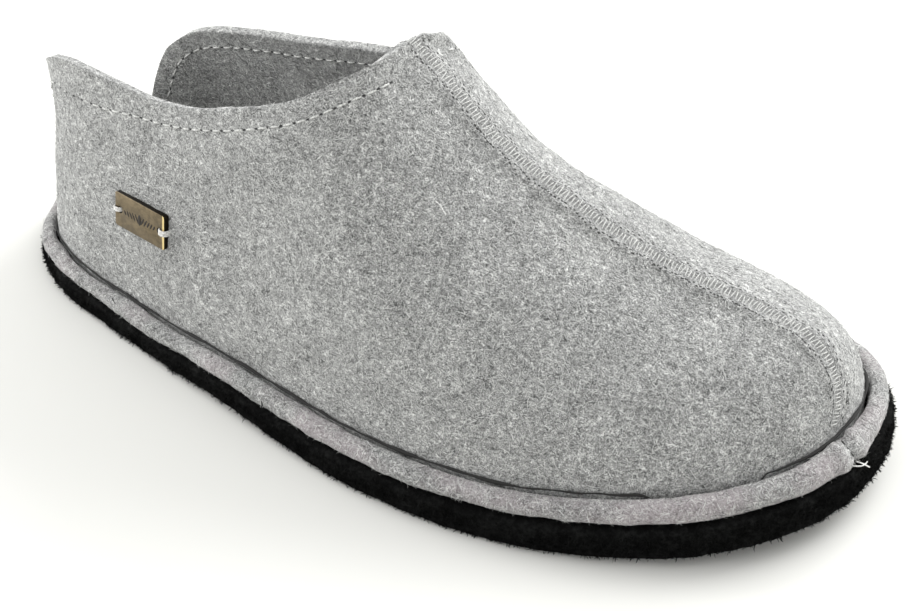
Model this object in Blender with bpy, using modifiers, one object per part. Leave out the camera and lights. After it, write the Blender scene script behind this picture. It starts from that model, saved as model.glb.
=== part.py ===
"""A felt slipper for the right foot, with a low back, a felt welt, a dark sole and a small metal plate.

The slipper is modelled with its heel at the back of X, its toe at +X, the outer side of the foot at -Y
and the floor at Z = 0. Every length is in metres.
"""

import math
from bisect import bisect_left
from collections import namedtuple

import bmesh
import bpy
from mathutils import Matrix, Vector

# Sizes of the slipper.
LENGTH = 0.270
BALL_WIDTH = 0.115
INSTEP_HEIGHT = 0.094
TOE_SPRING = 0.0065
ARCH_LIFT = 0.0012

# Sizes of the sole and the welt that lies on it.
SOLE_HEEL = 0.0060
SOLE_BALL = 0.0088
SOLE_EDGE_HEEL = 0.0000
SOLE_EDGE_TOE = 0.0026
SOLE_ROUND = 0.0012
WELT_WIDTH = 0.0048
WELT_COVER = 0.5
WELT_HEEL_HEIGHT = 0.0046
WELT_TOE_HEIGHT = 0.0070
WELT_JOINT_RIBS = -1

# Sizes of the felt upper and the felt insole in it.
BASE_HEEL = 0.0073
BASE_BALL = 0.0108
FELT_WALL = 0.0030
SEAM_BAND = 0.0085
SEAM_RISE = 0.0008
INSOLE_THICKNESS = 0.006
INSOLE_ROUND = 0.0015
INSOLE_EASE = 0.0006

# Sizes of the plate on the outer side of the heel.
PLATE_LENGTH = 0.0220
PLATE_HEIGHT = 0.0106
PLATE_THICKNESS = 0.0018
PLATE_CORNER = 0.0008
PLATE_HOLE = 0.0020
PLATE_HOLE_EDGE = 0.0022
PLATE_TURN = 3
PLATE_PLACE = 0.254
PLATE_RISE = 0.0348

# Room between pieces that meet.
CLEARANCE = 0.0003

# How finely the curves are divided.
EDGE_STEPS = 6
RIBS_PER_ROW = 3
RIB_SAMPLES = 40
WALL_ROWS = 9
BAND_SLOPE = 0.2
BAND_SHARE = 0.35
SEAM_RISE_RUN = 0.03
PLATE_STEP = 0.01
HOLLOW_SCALE = 6.75
SHARP_ANGLE = 40
MERGE = 0.00005

# The welt's outer line: share of the length, then the widths to each side as shares of the ball width.
Edge = namedtuple("Edge", "along outer inner")
OUTLINE = (
    Edge(0.000, 0.00, 0.00),
    Edge(0.012, 0.13, 0.13),
    Edge(0.045, 0.245, 0.24),
    Edge(0.100, 0.32, 0.30),
    Edge(0.200, 0.38, 0.33),
    Edge(0.320, 0.435, 0.31),
    Edge(0.440, 0.485, 0.32),
    Edge(0.560, 0.525, 0.37),
    Edge(0.660, 0.525, 0.43),
    Edge(0.760, 0.485, 0.48),
    Edge(0.850, 0.405, 0.48),
    Edge(0.920, 0.305, 0.42),
    Edge(0.970, 0.175, 0.31),
    Edge(0.993, 0.06, 0.19),
    Edge(1.000, -0.06, 0.06),
)

# The sole from heel to toe: shares of the arch lift and the toe spring, of the way from heel to ball
# thickness, of the way from heel edge to toe edge, of the way from heel to toe height of the welt, and of
# the way from heel to ball of the base that the upper's height is measured from.
Sole = namedtuple("Sole", "along arch spring thick edge welt base")
SOLE = (
    Sole(0.00, 0.0, 0.00, 0.0, 0.0, 0.0, 0.0),
    Sole(0.26, 0.0, 0.00, 0.0, 0.2, 0.1, 0.1),
    Sole(0.38, 1.0, 0.00, 0.2, 0.5, 0.15, 0.4),
    Sole(0.52, 0.0, 0.00, 0.7, 0.8, 0.15, 0.8),
    Sole(0.72, 0.0, 0.00, 0.9, 1.0, 0.25, 1.0),
    Sole(0.86, 0.0, 0.24, 1.2, 1.0, 0.6, 1.4),
    Sole(1.00, 0.0, 1.00, 1.3, 1.0, 1.0, 1.6),
)

# The sole's edge, from its underside to its upper face: how far in and up each ring lies, as shares of
# the rounding. face is 0 where the height counts from the underside, and 1 where it counts from the top.
Ring = namedtuple("Ring", "inwards up face")
SOLE_RINGS = (
    Ring(1.0, 0.0, 0),
    Ring(0.3, 0.3, 0),
    Ring(0.0, 1.0, 0),
    Ring(0.0, -0.6, 1),
    Ring(0.6, 0.0, 1),
)

# The insole's edge, from its underside to its upper face, in the same way.
INSOLE_RINGS = (
    Ring(0.0, 0.0, 0),
    Ring(0.0, -1.0, 1),
    Ring(0.3, -0.3, 1),
    Ring(1.0, 0.0, 1),
)

# The welt's section, from its inner foot round its outer bulge: shares of the welt's width and height.
Roll = namedtuple("Roll", "inward up")
WELT_SECTION = (
    Roll(1.00, 0.00),
    Roll(0.30, 0.00),
    Roll(0.08, 0.14),
    Roll(0.00, 0.38),
    Roll(0.04, 0.64),
    Roll(0.20, 0.86),
    Roll(0.48, 0.99),
    Roll(0.80, 0.97),
    Roll(1.00, 0.82),
)

# The ribs that end at the collar, on the outer and on the inner side. foot is the rib's place on the side,
# from heel to toe. The rib leans towards a spot of the middle line, "centre" of the way along it, and
# "lean" is the share of the way there that its top reaches. height is a share of the instep height above
# the base, and arc is how far the rib bends over, in degrees. hollow is the share of the way to the middle
# line that the rib is drawn in below its top.
Rib = namedtuple("Rib", "foot centre height arc lean side hollow", defaults=(1.0, 0.0, 0.0))
OUTER_COLLAR = (
    Rib(0.000, 0.140, 0.275, 30, 0.02, hollow=0.020),
    Rib(0.022, 0.140, 0.340, 30, 0.02, hollow=0.030),
    Rib(0.042, 0.140, 0.485, 30, 0.01, hollow=0.045),
    Rib(0.058, 0.140, 0.590, 30, 0.02, hollow=0.057),
    Rib(0.075, 0.140, 0.637, 30, 0.05, hollow=0.057),
    Rib(0.100, 0.140, 0.680, 30, 0.10, hollow=0.050),
    Rib(0.135, 0.165, 0.715, 30, 0.16, hollow=0.030),
    Rib(0.180, 0.210, 0.722, 30, 0.22, hollow=0.010),
    Rib(0.250, 0.280, 0.730, 32, 0.25),
    Rib(0.330, 0.350, 0.782, 36, 0.27),
    Rib(0.410, 0.440, 0.877, 44, 0.38),
    Rib(0.470, 0.490, 0.995, 54, 0.62),
    Rib(0.510, 0.497, 1.015, 62, 0.82),
    Rib(0.545, 0.500, 1.010, 67, 1.00),
)
INNER_COLLAR = (
    Rib(0.000, 0.140, 0.275, 30, 0.02, hollow=0.020),
    Rib(0.060, 0.140, 0.245, 30, 0.02, hollow=0.020),
    Rib(0.096, 0.140, 0.285, 30, 0.02, hollow=0.025),
    Rib(0.106, 0.145, 0.370, 30, 0.02, hollow=0.030),
    Rib(0.118, 0.150, 0.455, 30, 0.03, hollow=0.035),
    Rib(0.131, 0.160, 0.515, 30, 0.06, hollow=0.035),
    Rib(0.155, 0.180, 0.575, 30, 0.10, hollow=0.025),
    Rib(0.190, 0.210, 0.615, 30, 0.15, hollow=0.010),
    Rib(0.250, 0.270, 0.674, 32, 0.22),
    Rib(0.330, 0.360, 0.725, 36, 0.23),
    Rib(0.410, 0.445, 0.795, 44, 0.36),
    Rib(0.470, 0.492, 0.910, 54, 0.54),
    Rib(0.510, 0.499, 0.985, 62, 0.75),
    Rib(0.545, 0.500, 1.010, 67, 1.00),
)

# The ribs that meet at the seam, which runs off the middle line by "side", a share of the ball width.
SEAM = (
    Rib(0.545, 0.500, 1.010, 67, side=-0.025),
    Rib(0.600, 0.597, 0.765, 72, side=-0.018),
    Rib(0.670, 0.700, 0.610, 78, side=0.000),
    Rib(0.750, 0.800, 0.470, 82, side=0.045),
    Rib(0.825, 0.880, 0.385, 84, side=0.082),
    Rib(0.890, 0.940, 0.330, 84, side=0.086),
    Rib(0.940, 0.975, 0.260, 82, side=0.078),
    Rib(0.975, 0.993, 0.150, 78, side=0.062),
    Rib(1.000, 1.000, 0.000, 70, side=0.060),
)

# A rib's foot and top, the angle that it bends through, and how far it is drawn in.
Bend = namedtuple("Bend", "low high arc hollow")

OUTER = -1
INNER = 1


def remove_objects():
    """Empty the scene and drop what the objects leave behind."""
    for item in list(bpy.data.objects):
        bpy.data.objects.remove(item, do_unlink=True)
    for kind in (bpy.data.meshes, bpy.data.materials, bpy.data.collections):
        for item in list(kind):
            kind.remove(item)


def new_collection(name):
    """Add a collection to the scene."""
    collection = bpy.data.collections.new(name)
    bpy.context.scene.collection.children.link(collection)
    return collection


def new_material(name, colour, roughness, metallic=0.0):
    """Make one plain material."""
    material = bpy.data.materials.new(name)
    material.use_nodes = True
    shader = material.node_tree.nodes["Principled BSDF"]
    shader.inputs["Base Color"].default_value = (*colour, 1.0)
    shader.inputs["Roughness"].default_value = roughness
    shader.inputs["Metallic"].default_value = metallic
    return material


def slope_at(places, values, spot):
    """Return a curve's slope at one row, flat where its values turn."""
    if spot == 0 or spot == len(places) - 1:
        low = min(spot, len(places) - 2)
        return (values[low + 1] - values[low]) / (places[low + 1] - places[low])
    before = (values[spot] - values[spot - 1]) / (places[spot] - places[spot - 1])
    after = (values[spot + 1] - values[spot]) / (places[spot + 1] - places[spot])
    if before * after <= 0.0:
        return 0.0
    return 2.0 * before * after / (before + after)


def eased(rows, column, place):
    """Read a table's column at a place, on a smooth curve that never overshoots its rows."""
    places = [row[0] for row in rows]
    values = [getattr(row, column) for row in rows]
    place = min(max(place, places[0]), places[-1])
    spot = max(1, bisect_left(places, place))
    span = places[spot] - places[spot - 1]
    share = (place - places[spot - 1]) / span
    start = slope_at(places, values, spot - 1) * span
    end = slope_at(places, values, spot) * span
    rest = 1.0 - share
    return (
        values[spot - 1] * rest * rest * (1.0 + 2.0 * share)
        + start * share * rest * rest
        + values[spot] * share * share * (3.0 - 2.0 * share)
        - end * share * share * rest
    )


def mix(start, end, share):
    """Return the number or vector at a share of the way."""
    return start + (end - start) * share


def rounded_loop(corners):
    """Return a smooth closed loop of points through the corners."""
    count = len(corners)
    spans = [(corners[(k + 1) % count] - corners[k]).length for k in range(count)]
    tangents = []
    for k in range(count):
        before = (corners[k] - corners[k - 1]) / spans[k - 1]
        after = (corners[(k + 1) % count] - corners[k]) / spans[k]
        tangents.append((before * spans[k] + after * spans[k - 1]) / (spans[k] + spans[k - 1]))
    loop = []
    for k in range(count):
        following = (k + 1) % count
        for step in range(EDGE_STEPS):
            share = step / EDGE_STEPS
            rest = 1.0 - share
            point = corners[k] * rest * rest * (1.0 + 2.0 * share)
            point += corners[following] * share * share * (3.0 - 2.0 * share)
            point += tangents[k] * spans[k] * share * rest * rest
            point -= tangents[following] * spans[k] * share * share * rest
            loop.append(point)
    return loop


def welt_loop():
    """Return the welt's outer line, from the heel along the outer side, round the toe and back."""
    outer = [Vector((row.along * LENGTH, -row.outer * BALL_WIDTH)) for row in OUTLINE]
    inner = [Vector((row.along * LENGTH, row.inner * BALL_WIDTH)) for row in OUTLINE]
    return rounded_loop(outer + inner[-2:0:-1])


def new_object(name, mesh, material, collection, parent):
    """Put a mesh in the slipper as one named piece."""
    mesh.materials.append(material)
    mesh.shade_smooth()
    mesh.set_sharp_from_angle(angle=math.radians(SHARP_ANGLE))
    piece = bpy.data.objects.new(name, mesh)
    collection.objects.link(piece)
    piece.parent = parent
    return piece


def mesh_from(name, build):
    """Make a mesh with a function that fills a bmesh."""
    mesh = bpy.data.meshes.new(name)
    work = bmesh.new()
    build(work)
    bmesh.ops.recalc_face_normals(work, faces=work.faces)
    work.to_mesh(mesh)
    work.free()
    return mesh


def bridge_rings(work, rings, closed=True):
    """Join each row of vertices to the next with faces."""
    for lower, upper in zip(rings, rings[1:]):
        count = len(lower)
        for k in range(count if closed else count - 1):
            after = (k + 1) % count
            work.faces.new((lower[k], lower[after], upper[after], upper[k]))


def cap_across(work, ring):
    """Close a ring with strips from the outer side to the inner side."""
    count = len(ring)
    half = count // 2
    work.faces.new((ring[0], ring[1], ring[-1]))
    for k in range(1, half - 1):
        work.faces.new((ring[k], ring[k + 1], ring[count - k - 1], ring[count - k]))
    work.faces.new((ring[half - 1], ring[half], ring[half + 1]))


def inward(loop):
    """Return the inward direction at each point of a loop."""
    directions = []
    for k in range(len(loop)):
        tangent = (loop[(k + 1) % len(loop)] - loop[k - 1]).normalized()
        directions.append(Vector((-tangent.y, tangent.x)))
    return directions


def moved_in(loop, distance):
    """Return a loop moved inwards by a distance."""
    return [point + way * distance for point, way in zip(loop, inward(loop))]


def side_line(loop, side):
    """Return one side of a loop, from the heel to the toe."""
    half = len(loop) // 2
    if side == OUTER:
        return loop[: half + 1]
    return [loop[-k] for k in range(half + 1)]


def line_shares(line):
    """Return each point's share of the line's length."""
    lengths = [0.0]
    for before, after in zip(line, line[1:]):
        lengths.append(lengths[-1] + (after - before).length)
    return [length / lengths[-1] for length in lengths]


def point_on(line, share):
    """Return the point at a share of the line's length."""
    shares = line_shares(line)
    spot = min(max(1, bisect_left(shares, share)), len(line) - 1)
    local = (share - shares[spot - 1]) / (shares[spot] - shares[spot - 1])
    return line[spot - 1].lerp(line[spot], min(max(local, 0.0), 1.0))


def collar(side):
    """Return the table of the ribs that end at the collar on a side."""
    return OUTER_COLLAR if side == OUTER else INNER_COLLAR


def rib_shares(side):
    """Return the places of all ribs on a side, from heel to toe."""
    feet = [row.foot for row in collar(side)] + [row.foot for row in SEAM[1:]]
    shares = []
    for before, after in zip(feet, feet[1:]):
        shares += [mix(before, after, k / RIBS_PER_ROW) for k in range(RIBS_PER_ROW)]
    return shares + [1.0]


def rib_loop():
    """Return the welt's outer line with one point at each rib, so that all pieces turn together."""
    loop = welt_loop()
    there = [point_on(side_line(loop, OUTER), share) for share in rib_shares(OUTER)]
    back = [point_on(side_line(loop, INNER), share) for share in reversed(rib_shares(INNER))]
    return there + back[1:-1]


def sole_bottom(x):
    """Return the height of the sole's underside."""
    along = x / LENGTH
    return eased(SOLE, "arch", along) * ARCH_LIFT + eased(SOLE, "spring", along) * TOE_SPRING


def sole_top(x):
    """Return the height of the sole's upper face."""
    return sole_bottom(x) + mix(SOLE_HEEL, SOLE_BALL, eased(SOLE, "thick", x / LENGTH))


def sole_edge(x):
    """Return how far the sole stands out from the welt's outer line."""
    return mix(SOLE_EDGE_HEEL, SOLE_EDGE_TOE, eased(SOLE, "edge", x / LENGTH))


def welt_height(x):
    """Return the height of the welt above its foot."""
    return mix(WELT_HEEL_HEIGHT, WELT_TOE_HEIGHT, eased(SOLE, "welt", x / LENGTH))


def foot_loop():
    """Return the line round the upper's foot, just inside the welt."""
    return moved_in(rib_loop(), WELT_WIDTH + CLEARANCE)


def foot_height(x):
    """Return the height at which the welt, the upper and the insole stand on the sole."""
    return sole_top(x) + CLEARANCE


def upper_base(x):
    """Return the height that the upper's height is measured from."""
    return sole_bottom(x) + mix(BASE_HEEL, BASE_BALL, eased(SOLE, "base", x / LENGTH))


def bend(arc, share):
    """Return how far in and how far up a rib has come, as shares, at a share of its bend."""
    full = math.radians(arc)
    inwards = (1.0 - math.cos(full * share)) / (1.0 - math.cos(full))
    upwards = math.sin(full * share) / math.sin(full)
    return inwards, upwards


def hollowed(upwards):
    """Return how much of a rib's hollow there is at a share of its height. It is deepest two thirds up."""
    return HOLLOW_SCALE * upwards * upwards * (1.0 - upwards)


def rib_bend(feet, side, foot, share):
    """Return the bend of the rib at a share of the side line."""
    rows = collar(side) if share <= SEAM[0].foot else SEAM
    middle = feet[0].lerp(feet[-1], eased(rows, "centre", share))
    middle.y = eased(SEAM, "side", share) * BALL_WIDTH
    top = foot.lerp(middle, eased(rows, "lean", share))
    height = eased(rows, "height", share) * INSTEP_HEIGHT
    low = Vector((foot.x, foot.y, foot_height(foot.x)))
    high = Vector((top.x, top.y, upper_base(top.x) + height))
    hollow = (middle - foot) * eased(rows, "hollow", share)
    return Bend(low, high, eased(rows, "arc", share), hollow.to_3d())


def rib_point(rib, share):
    """Return the point at a share of a rib's bend."""
    inwards, upwards = bend(rib.arc, share)
    point = rib.low.lerp(rib.high, inwards) + rib.hollow * hollowed(upwards)
    point.z = mix(rib.low.z, rib.high.z, upwards)
    return point


def rib_line(rib):
    """Return a rib's points from its foot to its top, closer together in the seam band."""
    fine = [rib_point(rib, k / RIB_SAMPLES) for k in range(RIB_SAMPLES + 1)]
    length = sum((after - before).length for before, after in zip(fine, fine[1:]))
    band = min(SEAM_BAND * 0.5 / length, BAND_SHARE)
    slope = band * BAND_SLOPE
    shares = [(1.0 - band - slope) * k / WALL_ROWS for k in range(WALL_ROWS + 1)]
    shares += [1.0 - band, 1.0 - band * 0.5, 1.0]
    return [point_on(fine, place) for place in shares]


def band_rise(share):
    """Return how much of the seam's rise a rib has: none at the collar and none behind the welt."""
    growing = (share - SEAM[0].foot) / SEAM_RISE_RUN
    fading = (1.0 - share) / SEAM_RISE_RUN - 1.0
    return min(max(min(growing, fading), 0.0), 1.0)


def upper_face(work):
    """Fill a bmesh with the upper's outer face, with its seam band raised."""
    raised = {}
    for side in (OUTER, INNER):
        feet = side_line(foot_loop(), side)
        ribs = []
        for foot, share in zip(feet[:-1], rib_shares(side)):
            line = rib_line(rib_bend(feet, side, foot, share))
            rib = [work.verts.new(point) for point in line]
            for vert in rib[-3:]:
                raised[vert] = band_rise(share) * SEAM_RISE
            ribs.append(rib)
        tip = feet[-1]
        toe = work.verts.new((tip.x, tip.y, foot_height(tip.x)))
        bridge_rings(work, ribs, closed=False)
        for lower, upper in zip(ribs[-1], ribs[-1][1:]):
            work.faces.new((lower, upper, toe))
    bmesh.ops.recalc_face_normals(work, faces=work.faces)
    bmesh.ops.remove_doubles(work, verts=work.verts, dist=MERGE)
    work.normal_update()
    for vert, rise in raised.items():
        if vert.is_valid:
            vert.co += vert.normal * rise


def make_upper(collection, parent, material):
    """Make the felt upper: one hollow wall, open at the collar and underneath."""
    mesh = mesh_from("upper", upper_face)
    piece = new_object("upper", mesh, material, collection, parent)
    wall = piece.modifiers.new("felt wall", "SOLIDIFY")
    wall.thickness = FELT_WALL
    wall.offset = -1.0
    wall.use_even_offset = True
    return piece


def make_outsole(collection, parent, material):
    """Make the sole, with its arch, toe spring and softly rounded edges."""
    loop = rib_loop()
    ways = inward(loop)

    def build(work):
        rings = []
        for row in SOLE_RINGS:
            ring = []
            for point, way in zip(loop, ways):
                spot = point + way * (row.inwards * SOLE_ROUND - sole_edge(point.x))
                height = mix(sole_bottom(point.x), sole_top(point.x), row.face) + row.up * SOLE_ROUND
                ring.append(work.verts.new((spot.x, spot.y, height)))
            rings.append(ring)
        bridge_rings(work, rings)
        cap_across(work, rings[0])
        cap_across(work, rings[-1])

    return new_object("outsole", mesh_from("outsole", build), material, collection, parent)


def make_welt(collection, parent, material):
    """Make the welt: one felt strip rolled round the upper's foot, its ends meeting near the toe."""
    loop = rib_loop()
    joint = len(loop) // 2 + WELT_JOINT_RIBS
    loop = loop[joint:] + loop[:joint]
    ways = inward(loop)
    half_gap = CLEARANCE * 0.5
    first = loop[0].lerp(loop[1], half_gap / (loop[1] - loop[0]).length)
    last = loop[0].lerp(loop[-1], half_gap / (loop[-1] - loop[0]).length)

    def build(work):
        sections = []
        for point, way in zip([first] + loop[1:] + [last], ways + ways[:1]):
            section = []
            cover = sole_edge(point.x) * WELT_COVER
            for row in WELT_SECTION:
                spot = point + way * (row.inward * (WELT_WIDTH + cover) - cover)
                height = foot_height(point.x) + row.up * welt_height(point.x)
                section.append(work.verts.new((spot.x, spot.y, height)))
            sections.append(section)
        bridge_rings(work, sections)
        work.faces.new(sections[0])
        work.faces.new(sections[-1])

    return new_object("welt", mesh_from("welt", build), material, collection, parent)


def rib_at(rib, lift):
    """Return the point of a rib at a height above its foot, or its top if it is lower."""
    rise = rib.high.z - rib.low.z
    if rise <= lift:
        return rib_point(rib, 1.0)
    full = math.radians(rib.arc)
    return rib_point(rib, math.asin(lift / rise * math.sin(full)) / full)


def wall_leans(lift):
    """Return, for each point of the foot line, how far in the wall stands at a height above it."""
    leans = []
    loop = foot_loop()
    ways = inward(loop)
    for side in (OUTER, INNER):
        feet = side_line(loop, side)
        line = []
        for foot, way, share in zip(feet[:-1], side_line(ways, side), rib_shares(side)):
            reach = rib_at(rib_bend(feet, side, foot, share), lift).to_2d() - foot
            line.append(max(reach.dot(way), 0.0))
        leans.append(line + line[-1:])
    return leans[0] + leans[1][-2:0:-1]


def make_insole(collection, parent, material):
    """Make the felt insole inside the upper, with a softly rounded upper edge."""
    loop = foot_loop()
    ways = inward(loop)
    leans = wall_leans(INSOLE_THICKNESS)

    def build(work):
        rings = []
        for row in INSOLE_RINGS:
            ring = []
            for point, way, lean in zip(loop, ways, leans):
                inset = FELT_WALL + mix(CLEARANCE, INSOLE_EASE + lean, row.face)
                spot = point + way * (inset + row.inwards * INSOLE_ROUND)
                height = foot_height(spot.x) + row.face * INSOLE_THICKNESS + row.up * INSOLE_ROUND
                ring.append(work.verts.new((spot.x, spot.y, height)))
            rings.append(ring)
        bridge_rings(work, rings)
        cap_across(work, rings[0])
        cap_across(work, rings[-1])

    return new_object("insole", mesh_from("insole", build), material, collection, parent)


def wall_spot(feet, share, lift):
    """Return the point of the upper's outer side at a share of the side line and a height above the sole."""
    return rib_at(rib_bend(feet, OUTER, point_on(feet, share), share), lift)


def plate_place():
    """Return the matrix of the plate: X along it, Y up it and Z away from the upper."""
    feet = side_line(foot_loop(), OUTER)
    spot = wall_spot(feet, PLATE_PLACE, PLATE_RISE)
    ahead = wall_spot(feet, PLATE_PLACE + PLATE_STEP, PLATE_RISE)
    above = wall_spot(feet, PLATE_PLACE, PLATE_RISE + PLATE_STEP * LENGTH)
    along = (ahead - spot).normalized()
    normal = along.cross(above - spot).normalized()
    turn = Matrix((along, normal.cross(along), normal)).transposed().to_4x4()
    turn @= Matrix.Rotation(math.radians(PLATE_TURN), 4, "Z")
    return Matrix.Translation(spot + normal * (CLEARANCE + PLATE_THICKNESS * 0.5)) @ turn


def make_plate(collection, cutters, parent, material):
    """Make the metal plate, with a round hole for the thread near each end."""
    mesh = bpy.data.meshes.new("badge_plate")
    work = bmesh.new()
    bmesh.ops.create_cube(work, size=1.0)
    bmesh.ops.scale(work, vec=(PLATE_LENGTH, PLATE_HEIGHT, PLATE_THICKNESS), verts=work.verts)
    corners = [edge for edge in work.edges if edge.verts[0].co.z * edge.verts[1].co.z < 0.0]
    bmesh.ops.bevel(work, geom=corners, offset=PLATE_CORNER, segments=3, profile=0.5, affect="EDGES")
    work.to_mesh(mesh)
    work.free()
    plate = new_object("badge_plate", mesh, material, collection, parent)
    plate.matrix_local = plate_place()
    for side in (-1, 1):
        hole = make_cutter("plate_hole", PLATE_HOLE, PLATE_THICKNESS * 3.0, cutters, plate)
        hole.location.x = side * (PLATE_LENGTH * 0.5 - PLATE_HOLE_EDGE)
        cut = plate.modifiers.new("hole", "BOOLEAN")
        cut.object = hole
        cut.solver = "EXACT"
    return plate


def make_cutter(name, width, depth, cutters, parent):
    """Make a round cutter that shows as a wire and isn't part of the slipper."""
    mesh = bpy.data.meshes.new(name)
    work = bmesh.new()
    bmesh.ops.create_cone(
        work, cap_ends=True, segments=16, radius1=width * 0.5, radius2=width * 0.5, depth=depth
    )
    work.to_mesh(mesh)
    work.free()
    cutter = bpy.data.objects.new(name, mesh)
    cutter.display_type = "WIRE"
    cutter.hide_render = True
    cutters.objects.link(cutter)
    cutter.parent = parent
    return cutter


def middle_of_base():
    """Return the middle of the box round the sole and the welt, seen from above."""
    welt = rib_loop()
    sole = [point - way * sole_edge(point.x) for point, way in zip(welt, inward(welt))]
    reach = welt + sole
    low = Vector((min(point.x for point in reach), min(point.y for point in reach)))
    high = Vector((max(point.x for point in reach), max(point.y for point in reach)))
    return (low + high) * 0.5


def main():
    """Build the slipper."""
    remove_objects()
    slipper = new_collection("felt_slipper")
    cutters = new_collection("cutters")
    root = bpy.data.objects.new("slipper_base", None)
    slipper.objects.link(root)
    middle = middle_of_base()
    root.location = (-middle.x, -middle.y, 0.0)
    make_outsole(slipper, root, new_material("black nap", (0.012, 0.012, 0.013), 0.95))
    make_welt(slipper, root, new_material("welt felt", (0.40, 0.39, 0.39), 0.95))
    make_upper(slipper, root, new_material("grey felt", (0.38, 0.38, 0.39), 0.95))
    make_insole(slipper, root, new_material("insole felt", (0.33, 0.33, 0.34), 0.95))
    make_plate(slipper, cutters, root, new_material("aged brass", (0.30, 0.24, 0.13), 0.38, 1.0))


main()
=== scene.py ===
"""The looks of a felt slipper: its felt, seams, welt, napped sole and metal plate, on a pale floor.

Every length is in metres. X runs from the heel to the toe, Y to the inner side of the foot, Z up.
"""

import math
from collections import namedtuple

import bmesh
import bpy
import numpy as np
from bpy.props import FloatProperty, FloatVectorProperty, IntProperty, PointerProperty
from mathutils import Matrix, Vector, noise
from mathutils.bvhtree import BVHTree
from mathutils.kdtree import KDTree


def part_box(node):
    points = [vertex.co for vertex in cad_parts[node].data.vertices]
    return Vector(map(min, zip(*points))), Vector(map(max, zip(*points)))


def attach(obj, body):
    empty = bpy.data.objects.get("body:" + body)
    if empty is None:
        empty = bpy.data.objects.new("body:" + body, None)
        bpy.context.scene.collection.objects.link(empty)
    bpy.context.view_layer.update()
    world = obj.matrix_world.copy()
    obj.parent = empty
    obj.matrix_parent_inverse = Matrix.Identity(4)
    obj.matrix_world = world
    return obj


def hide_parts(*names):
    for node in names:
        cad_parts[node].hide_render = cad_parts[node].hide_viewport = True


bl_info = {
    "name": "Felt slipper",
    "version": (1, 0, 0),
    "blender": (4, 5, 0),
    "location": "View3D > Sidebar > Slipper",
    "description": "Dresses a felt slipper: felt, seams, welt, sole and plate",
    "category": "Add Mesh",
}

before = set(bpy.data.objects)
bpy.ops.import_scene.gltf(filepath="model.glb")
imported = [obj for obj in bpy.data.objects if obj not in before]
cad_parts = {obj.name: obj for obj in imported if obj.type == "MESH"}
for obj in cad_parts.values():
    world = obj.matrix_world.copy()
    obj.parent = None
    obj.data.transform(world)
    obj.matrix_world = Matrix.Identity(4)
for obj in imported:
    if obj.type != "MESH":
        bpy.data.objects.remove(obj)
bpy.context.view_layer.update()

# How far apart the corners of two faces may lie and still be one corner, and what counts as a sharp edge.
MERGE = 0.00002
SHARP = math.radians(50)

# A Mix node's colour output, which shares its name with its other outputs.
RGB_OUTPUT = 2
HALF = 0.5

# The seam's line from the throat to the toe, and the step between its points.
Spot = namedtuple("Spot", "x y z")
SEAM_LINE = (
    Spot(-0.0013, -0.0006, 0.1050),
    Spot(0.0098, 0.0004, 0.0950),
    Spot(0.0229, 0.0001, 0.0841),
    Spot(0.0341, 0.0004, 0.0770),
    Spot(0.0565, 0.0026, 0.0659),
    Spot(0.0783, 0.0077, 0.0564),
    Spot(0.0974, 0.0115, 0.0510),
    Spot(0.1128, 0.0118, 0.0478),
    Spot(0.1211, 0.0106, 0.0438),
    Spot(0.1256, 0.0098, 0.0370),
    Spot(0.1270, 0.0084, 0.0320),
    Spot(0.1280, 0.0062, 0.0265),
)
SEAM_STEP = 0.001

# How far the collar's stitches lie from its edge on the outer side of the foot, from heel to throat.
Hem = namedtuple("Hem", "x width")
HEMS = (
    Hem(-0.125, 0.0062),
    Hem(-0.112, 0.0105),
    Hem(-0.092, 0.0092),
    Hem(-0.076, 0.0066),
    Hem(-0.062, 0.0058),
    Hem(-0.030, 0.0058),
    Hem(0.000, 0.0070),
)
INNER_HEM = 0.0056

# The line across the welt where its two ends meet, from the groove down to the sole.
JOINT = (
    Vector((0.1290, 0.0062, 0.0225)),
    Vector((0.1313, 0.0042, 0.0233)),
    Vector((0.1330, 0.0038, 0.0226)),
    Vector((0.1343, 0.0038, 0.0212)),
    Vector((0.1346, 0.0052, 0.0184)),
    Vector((0.1345, 0.0067, 0.0160)),
)

# Dark lines of painted shade in the welt, with their widths: the joint, a cut near the heel and a notch in
# the side.
Mark = namedtuple("Mark", "name line width")
PAINTED_SHADE_MARKS = (
    Mark("joint", JOINT, 0.00034),
    Mark("cut", ((-0.0840, -0.0398, 0.0106), (-0.0819, -0.0410, 0.0100)), 0.00016),
    Mark("notch", ((-0.0168, -0.0543, 0.0109), (-0.0163, -0.0535, 0.0079)), 0.00050),
)
MARK_STEP = 0.0008

# Where along the collar its stitches sink into the fuzz of the ear above the heel, and how far from the
# throat they end.
EAR = (-0.118, -0.095)
THROAT_GAP = 0.011

# The groove between welt and upper: how near the upper its rim lies, and the place and width of its painted
# shadow.
RIM_GAP = 0.0011
GROOVE_SHADOW_OUT = 0.0005
GROOVE_SHADOW_UP = 0.0012
GROOVE_SHADOW_WIDTH = 0.00042

# The welt at its joint: how far it is drawn in there, how far it swells beside it, and how wide each is.
JOINT_DEPTH = 0.0007
JOINT_SPREAD = 0.0016
JOINT_SWELL = 0.0008
JOINT_SWELL_OFF = 0.0035
JOINT_SWELL_SPREAD = 0.0022

# Lumps of a surface: how wide they are and how far they stand out.
Lump = namedtuple("Lump", "width depth")
UPPER_LUMPS = (Lump(0.034, 0.00060), Lump(0.011, 0.00026), Lump(0.0042, 0.00012))
WELT_LUMPS = (Lump(0.024, 0.00070), Lump(0.009, 0.00045), Lump(0.0034, 0.00020))
SOLE_LUMPS = (Lump(0.012, 0.00035), Lump(0.0045, 0.00045), Lump(0.0018, 0.00026))
INSOLE_LUMPS = (Lump(0.026, 0.00050), Lump(0.007, 0.00015))

# How near the upper the welt begins to draw back from it, and the gap that it leaves there.
WELT_NEAR = (0.0006, 0.0022)
GAPE = 0.00030
GAPE_LUMPS = (Lump(0.009, 0.00070),)

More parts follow.
